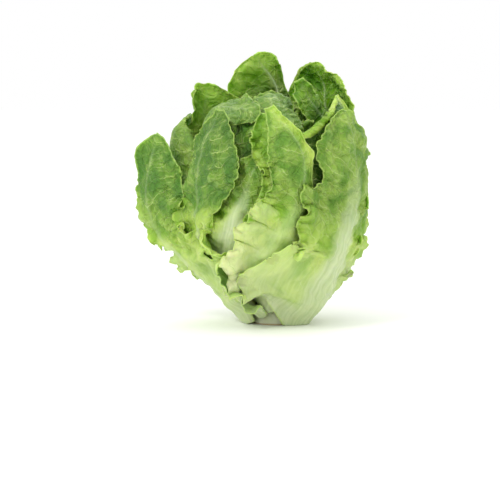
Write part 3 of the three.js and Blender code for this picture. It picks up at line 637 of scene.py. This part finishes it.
# a row's painted shade darkens that leaf's green where it lies in shadow: most in the cup, under the crest
# and on the inner leaves
LEAVES = {
    "leaf_left_wing": dict(
        seed=4, stem_wide=2, painted_shade=0.1, low_top=74, lime_wide=14, frill_lime=0.78, pale=0.1, pucker=0.9,
        crumple=[0, 0.6, 1.0, 0.8, 0.2, 0, 0], wave=8, ruffle_width=[8, 10, 10, 10, 9, 9, 8],
        ruffle_left=[0, 1.5, 2.2, 2.2, 1.4, 0.6, 0.4], ruffle_right=[0, 1.5, 2.2, 2.2, 0.7, 0.4, 0.4],
        roll_right=[0, -40, -50, -50, -40, -20, 0, 0, 0], lobe_wide=14,
        lobes=[("left", 0.2, 0.34, 2, 3), ("left", 0.34, 0.46, 2, 4), ("left", 0.46, 0.57, 2, 4),
               ("left", 0.57, 0.69, 2, 3), ("left", 0.74, 0.99, 2, 0), ("right", 0.2, 0.34, 7, -3),
               ("right", 0.34, 0.45, 8, -4), ("right", 0.45, 0.56, 8, -4), ("right", 0.56, 0.66, 5, -2)]),
    "leaf_right": dict(
        seed=1, stem=0.95, stem_wide=[18, 15, 12, 9, 8, 7, 5, 3, 1.5], stem_top=0.8, lime=0.25, low_top=80,
        lime_wide=18, frill_lime=0.64, pale=0.45, pale_wide=19, pale_top=0.5,
        crumple=[0, 0.5, 0.8, 0.6, 0.3, 0.4, 0.3], wave=6.5, ruffle_width=[8, 10, 10, 10, 9, 8, 8],
        ruffle_left=[0, 2.8, 2.7, 2.6, 1.6, 0.5, 0.5], ruffle_right=[0, 1.5, 1.6, 1.4, 0.4, 0.2, 0.2],
        roll_left=[0, -5, -15, -15, -5, 10, 20, 20],
        lobes=[("left", 0.13, 0.21, 9, 2), ("left", 0.2, 0.28, 10, 1), ("left", 0.27, 0.35, 8, 0),
               ("left", 0.35, 0.43, 6, 2), ("left", 0.43, 0.54, 5, 5), ("left", 0.54, 0.67, 5, 4),
               ("right", 0.3, 0.38, 3, 2), ("right", 0.4, 0.48, 3, 2), ("right", 0.5, 0.58, 2, 2)]),
    "leaf_back": dict(
        seed=7, step=1.2, stem_wide=[14, 12, 10, 8, 6, 4, 2, 1], pucker=1.1,
        crumple=[0, 0.4, 0.6, 0.5, 0.3, 0.3], wave=9, ruffle_width=8,
        ruffle_left=[0, 1.2, 1.8, 2, 2, 1.5, 1], ruffle_right=[0, 1.2, 1.8, 2, 2, 1.5, 1],
        lobes=[("left", 0.3, 0.42, 2, 2), ("left", 0.46, 0.6, 2, 2), ("right", 0.34, 0.48, 2, 2),
               ("right", 0.5, 0.62, 2, 2)]),
    "leaf_left_front": dict(
        seed=2, stem_wide=2, painted_shade=[0, 0, 0, 0, 0.1, 0.25, 0.4], low_top=82, lime_wide=14, pale=0.15,
        crumple=[0, 0.8, 1.4, 1.0, 0.3, 0.4, 0.4], wave=9, ruffle_width=[8, 10, 10, 10, 9, 8, 8],
        ruffle_left=[0, 2.5, 3, 2.8, 1, 0.5, 0.5], ruffle_right=[0, 2, 2.4, 2.2, 0.8, 0.4, 0.4],
        lobes=[("left", 0.2, 0.32, 4, 4), ("left", 0.32, 0.44, 6, 5), ("left", 0.44, 0.56, 6, 4),
               ("left", 0.56, 0.68, 5, 2), ("right", 0.04, 0.2, 8, 2), ("right", 0.15, 0.28, 10, 3),
               ("right", 0.25, 0.36, 8, 4), ("right", 0.35, 0.46, 6, 4), ("right", 0.47, 0.58, 4, 3)]),
    "leaf_front": dict(
        seed=3, stem=0.45, stem_wide=[14, 12, 11, 9, 6, 3, 1.5, 0.8, 0.5], stem_top=0.72, lime=0.22,
        lime_wide=20, lime_right=[0] * 9 + [1, 1, 1, 1], pale=[1.3, 1.2, 0.6, 0.3, 0.3, 0.3], pale_wide=17,
        pucker=0.8, crumple=[0, 0.5, 0.8, 0.5, 0.3, 0.3, 0.3], wave=7.5,
        ruffle_width=[8, 10, 10, 9, 8, 8, 8], ruffle_left=[0, 2.4, 2.6, 2.6, 1.6, 0.6, 0.4],
        ruffle_right=[0, 1, 1, 1, 0.5, 0.5, 0.5], frill_right=[0.8] * 9 + [2, 3, 3, 1],
        roll_right=[10] * 8 + [60, 130, 130, 130, 120],
        lobes=[("left", 0.0, 0.16, 8, 2), ("left", 0.12, 0.24, 10, 5), ("left", 0.24, 0.34, 10, 6),
               ("left", 0.34, 0.43, 7, 6), ("left", 0.43, 0.51, 6, 5), ("left", 0.51, 0.58, 4, 4),
               ("left", 0.58, 0.64, 3, 2)]),
    "leaf_right_back": dict(
        seed=5, step=1.2, wave=9, ruffle_left=[0, 3, 3, 3, 3, 2, 1], ruffle_right=[0, 3, 3, 3, 2, 2, 1],
        frill_left=[1, 4, 5, 5, 4, 2, 1]),
    "leaf_left_back": dict(
        seed=6, step=1.2, dull=0.4, lime=0.2, ruffle_left=[0, 2, 3, 2, 1, 0.5, 0.5],
        ruffle_right=[0, 1, 2, 2, 1, 0.5, 0.5]),
    "leaf_bright": dict(
        seed=8, slot="leaf_bright", stem_wide=1.5, waxy=0, lime=0.5, pucker=1.1,
        crumple=[0, 0, 0.6, 1, 1, 1, 0.6], wave=7, ruffle_left=[0, 1, 2, 2.2, 2.2, 1.6, 1.2],
        ruffle_right=0.4),
    "leaf_front_left": dict(
        seed=9, stem=1.0, stem_wide=[16, 15, 14, 12, 9, 5, 2, 1, 0.5], stem_top=0.9, lime=0.15,
        lime_wide=14, pucker=0.7, crumple=[0, 0.3, 0.5, 0.4, 0.3, 0, 0], wave=8,
        ruffle_left=[0, 1.5, 2.4, 2, 1, 0.8, 0.5], ruffle_right=0.5,
        lobes=[("left", 0.17, 0.3, 4, 3), ("left", 0.3, 0.42, 5, 5), ("left", 0.42, 0.56, 5, 5)]),
    "leaf_back_right": dict(
        seed=10, midrib=0.5, painted_shade=[0, 0, 0, 0.1, 0.1, 0.1, 0], lime_left=[0, 0, 0, 0.5, 1, 1, 1],
        lime_right=[0, 0, 0, 0.5, 1, 1, 1], pucker=0.8, ruffle_left=0.2, ruffle_right=0.2, ruffle_tip=0.2),
    # painted shade darkens the crest's lower part, which lies in the shadow of the leaves before it
    "leaf_crest": dict(
        seed=11, midrib=1.0, painted_shade=[0.5, 0.5, 0.5, 0.6, 0.8, 1.0, 0.9, 0], painted_shade_outside=0.15,
        lime=[0] * 8 + [0.4, 1.0], low_top=0, frill_lime=0, pucker=0.9, ruffle_left=0.5, ruffle_right=0.5,
        ruffle_tip=0.5),
    "leaf_back_left": dict(
        seed=12, step=1.2, lime=0.6, ruffle_left=0.8, ruffle_right=0.6, ruffle_tip=0.6),
    # painted shade makes the cup dark below its rim, standing in for the deep shadow of the gap it lies in
    "leaf_cup": dict(
        seed=13, stem_top=0.5, painted_shade=[1.0] * 7 + [0.7, 0.4, 0.2, 0], lime_left=[0] * 8 + [0.5, 1, 1, 1, 1],
        lime_right=[0] * 8 + [0.5, 1, 1, 1, 1], pucker=0.5, ruffle_left=0.3, ruffle_right=0.3,
        ruffle_tip=0.2, frill_left=[0.8] * 10 + [5, 6, 1], roll_left=[10] * 9 + [60, 120, 130, 130]),
    "leaf_hood_left": dict(
        seed=14, dull=0.4, pucker=0.9, ruffle_tip=1.2),
    "leaf_inner_left": dict(
        seed=15, painted_shade=0.1, pucker=1.4, crumple=1.6, ruffle_left=0.7, ruffle_right=0.7),
    "leaf_hood_right": dict(
        seed=16, waxy=0.3, painted_shade=0.2, pucker=0.8, ruffle_left=1.2, ruffle_right=1.2, ruffle_tip=1.0),
    "leaf_inner_back": dict(
        seed=17, step=1.8, painted_shade=0.5, ruffle_left=0.7, ruffle_right=0.7),
    "leaf_hood_front": dict(
        seed=18, dull=0.4, pucker=0.9, ruffle_tip=1.2),
}


# ---- the heart and the stump ----
CORE = [[0, 37], [7, 40], [11, 52], [12, 74], [9, 92], [4, 103], [0, 105]]  # distance from the axis, height
HEART_LEAVES = [  # azimuth, distance from the axis, height of the tip, half-width, lean of the tip
    (-20, 26, 128, 17, 0.9), (100, 25, 134, 16, 0.8), (45, 25, 121, 15, 1.05), (215, 23, 134, 16, 0.8),
    (66, 17, 132, 12, 0.9), (10, 19, 125, 13, 1.1), (150, 12, 132, 12, 1.1),
]


def heart_leaf(number, azimuth, r, top, half, lean):
    """One small frilly leaf: its inner face, and how far each point is across it, from its tip and from its
    edge, and how white it is there."""
    share = np.linspace(0, 1, 80)[:, None]
    side = np.linspace(-1, 1, 60)[None, :]
    tall = top - HEART_FOOT
    z = HEART_FOOT + tall * share + 0 * side
    away = np.interp(z, [HEART_FOOT, 60, 82, top - 16, top], [6, 0.7 * r, 0.95 * r, r, lean * r])
    wide = half * np.interp(share, [0, 0.2, 0.5, 0.85, 1], [0.3, 0.6, 0.95, 1, 0.8])
    wide = wide * np.sqrt(np.clip(1 - np.clip((share - 0.7) / 0.32, 0, 1) ** 2.4, 0.03, 1))
    across = side * wide
    turn = math.radians(azimuth) + 0.8 * across / np.maximum(away, 8)
    edge = np.minimum(wide - np.abs(across), (1 - share) * tall)
    along = (1 - share) * tall + 0 * side
    wave, sway = margin_waves(along + 9 * side, 8.5, 50 + number)
    tiny, _ = margin_waves(along + 9 * side, 4.1, 70 + number)
    ruffle = smooth(share / 0.4) * smooth(1 - edge / 8)
    away = away + 2.4 * ruffle * wave + 0.8 * ruffle * tiny
    away = away + crumpled(across, along, number) * 0.9 * smooth(share / 0.4)
    z = z + 1.2 * ruffle * sway
    face = np.stack([away * np.sin(turn), -away * np.cos(turn), z], -1)
    stem = np.exp(-((across / 2.5) ** 2)) * (1 - share) + 0 * side
    return face, across, along, edge, stem


def heart_core():
    """The stem that the small leaves stand out of: its points, ring by ring and then its foot and tip, its
    faces, and how many points a ring has."""
    turns = np.linspace(0, 2 * math.pi, 49)[None, :-1]
    profile = np.array(CORE, float)
    knots = lengths(profile[None], 1)[0]
    heights = np.linspace(0, 1, 40)[:, None] * knots[-1]
    z = np.interp(heights, knots, profile[:, 1]) + 0 * turns
    reach = np.interp(heights, knots, profile[:, 0]) * (1 + 0.06 * np.sin(7 * turns + z / 9))
    ring = np.stack([reach * np.sin(turns), -reach * np.cos(turns), z], -1)[1:-1]
    rows, columns = ring.shape[:2]
    points = ring.reshape(-1, 3).tolist() + [[0, 0, profile[0, 1]], [0, 0, profile[-1, 1]]]
    at = np.arange(rows * columns).reshape(rows, columns)
    beside = np.roll(at, -1, 1)
    faces = np.stack([at[:-1], beside[:-1], beside[1:], at[1:]], -1).reshape(-1, 4).tolist()
    foot, tip = rows * columns, rows * columns + 1
    for j in range(columns):
        faces.append([foot, beside[0, j], at[0, j]])
        faces.append([tip, at[-1, j], beside[-1, j]])
    return points, faces, columns


def heart():
    """The small frilly leaves in the middle, standing out of the core that they grow from."""
    corners, faces, marks = [], [], {"place": [], "tone": [], "veins": []}
    for number, row in enumerate(HEART_LEAVES):
        face, across, along, edge, stem = heart_leaf(number, *row)
        ones, passed = np.ones(across.shape), vein_count(across, along)
        points, quads = slab_faces(face, 0.6 * ones)
        faces.extend((quads + len(corners)).tolist())
        corners.extend(points.tolist())
        for under in (0.0, 1.0):
            marks["place"].append(np.stack([across, along, edge], -1).reshape(-1, 3))
            marks["tone"].append(np.stack([stem, 0.3 * ones, ones * under], -1).reshape(-1, 3))
            # the third mark is painted shade: 0.3 all over the small leaves, standing in for the shadow
            # inside the head
            marks["veins"].append(np.stack([passed, 0 * ones, 0.3 * ones], -1).reshape(-1, 3))
    points, sides, columns = heart_core()
    faces.extend([len(corners) + k for k in side] for side in sides)
    corners.extend(points)
    order = np.arange(len(points))
    marks["place"].append(np.stack([order % columns, order / columns * 2, np.full(len(points), 9)], -1))
    marks["tone"].append(np.tile([0.6, 0.7, 1.0], (len(points), 1)))
    marks["veins"].append(np.tile([0.5, 0.0, 0.0], (len(points), 1)))
    return made_piece("romaine_heart", np.array(corners), faces, marks)


def stump():
    """The stem below the leaves: it narrows upwards and ends in the flat cut."""
    turns = np.linspace(0, 2 * math.pi, STUMP_SIDES + 1)[:-1]
    rings = [(r, 0.0) for r in (2.0, 5.0, 8.0, 11.0, 13.2, 14.1)] + [(STUMP_REACH, 0.25)]
    for z in np.linspace(1, 30, 16):
        rings.append((STUMP_REACH * (1 - z / 70) ** 1.6 + 1.1 * float(smooth(z / 3)), z))
    rings.append((2.6, 33.0))
    points = [[0.0, 0.0, 0.0]]
    for r, z in rings:
        scar = 0.35 * np.sin(5 * turns + z / 3) * min(z / 4, 1) + 0.2 * np.sin(23 * turns + z) * min(z / 4, 1)
        away, level = r + scar, np.full(STUMP_SIDES, z)
        points += np.stack([away * np.sin(turns), -away * np.cos(turns), level], -1).tolist()
    points.append([0.0, 0.0, 34.0])
    at = 1 + np.arange(len(rings) * STUMP_SIDES).reshape(len(rings), STUMP_SIDES)
    beside = np.roll(at, -1, 1)
    top = len(points) - 1
    faces = [[0, a, b] for a, b in zip(at[0], beside[0])]
    faces += np.stack([at[:-1], at[1:], beside[1:], beside[:-1]], -1).reshape(-1, 4).tolist()
    faces += [[top, b, a] for a, b in zip(at[-1], beside[-1])]
    return made_piece("romaine_stump", np.array(points), faces, {})


# ---- the head, piece by piece ----
def stands_for(piece, node, finish):
    """Gives a piece its finish and puts it in its solid's place."""
    piece.data.materials.append(finish)
    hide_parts(node)
    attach(piece, "root")


blade = romaine_blade()
for node, own in LEAVES.items():
    stands_for(dress_leaf(node, own), node, blade)
stands_for(heart(), "heart", blade)
stands_for(stump(), "stump", cut_stem())


# ---- floor, light and camera ----
def studio():
    bpy.ops.mesh.primitive_plane_add(size=6)
    floor = bpy.context.object
    floor.name = "floor"
    paper = bpy.data.materials.new("matt paper sweep")
    paper.use_nodes = True
    skin = paper.node_tree.nodes["Principled BSDF"]
    skin.inputs["Base Color"].default_value = linear("#fcfcfb")
    skin.inputs["Roughness"].default_value = 0.9
    floor.data.materials.append(paper)
    lamps = (("key", (-0.7, -0.8, 1.1), 0.4, 7.0), ("back", (0.4, 0.9, 0.9), 0.6, 2.5))
    for name, place, size, watts in lamps:
        lamp = bpy.data.lights.new(name, "AREA")
        lamp.size, lamp.energy = size, watts
        holder = bpy.data.objects.new(name, lamp)
        bpy.context.scene.collection.objects.link(holder)
        holder.location = place
        holder.rotation_euler = (Vector((0, 0, 0.08)) - Vector(place)).to_track_quat("-Z", "Y").to_euler()
    world = bpy.data.worlds.new("studio white")
    world.use_nodes = True
    tree = world.node_tree
    way = add(tree, "ShaderNodeTexCoord").outputs["Generated"]
    height = add(tree, "ShaderNodeSeparateXYZ", {0: way}).outputs[2]
    dome = add(tree, RANGE, {0: height, 3: 0.5, 4: 1.4})
    seen = add(tree, "ShaderNodeLightPath").outputs["Is Camera Ray"]
    bright = add(tree, MATHS, {0: dome, 1: seen}, operation="MAXIMUM")
    tree.links.new(bright.outputs[0], tree.nodes["Background"].inputs["Strength"])
    tree.nodes["Background"].inputs["Color"].default_value = linear("#ffffff")
    bpy.context.scene.world = world
    bpy.context.scene.view_settings.view_transform = "Standard"


def photographer():
    """The camera, shifted so that the head's foot is 27 of 500 parts right of the middle and 72 below it."""
    lens = bpy.data.cameras.new("camera")
    lens.sensor_width = 36
    lens.lens = lens.sensor_width * CAMERA_AWAY / VIEW_WIDE
    lens.shift_x, lens.shift_y = -27 / 500, 72 / 500
    camera = bpy.data.objects.new("camera", lens)
    bpy.context.scene.collection.objects.link(camera)
    back = Vector((0, -math.cos(CAMERA_UP), math.sin(CAMERA_UP)))
    camera.location = back * CAMERA_AWAY
    camera.rotation_euler = (-back).to_track_quat("-Z", "Y").to_euler()
    bpy.context.scene.camera = camera


studio()
photographer()
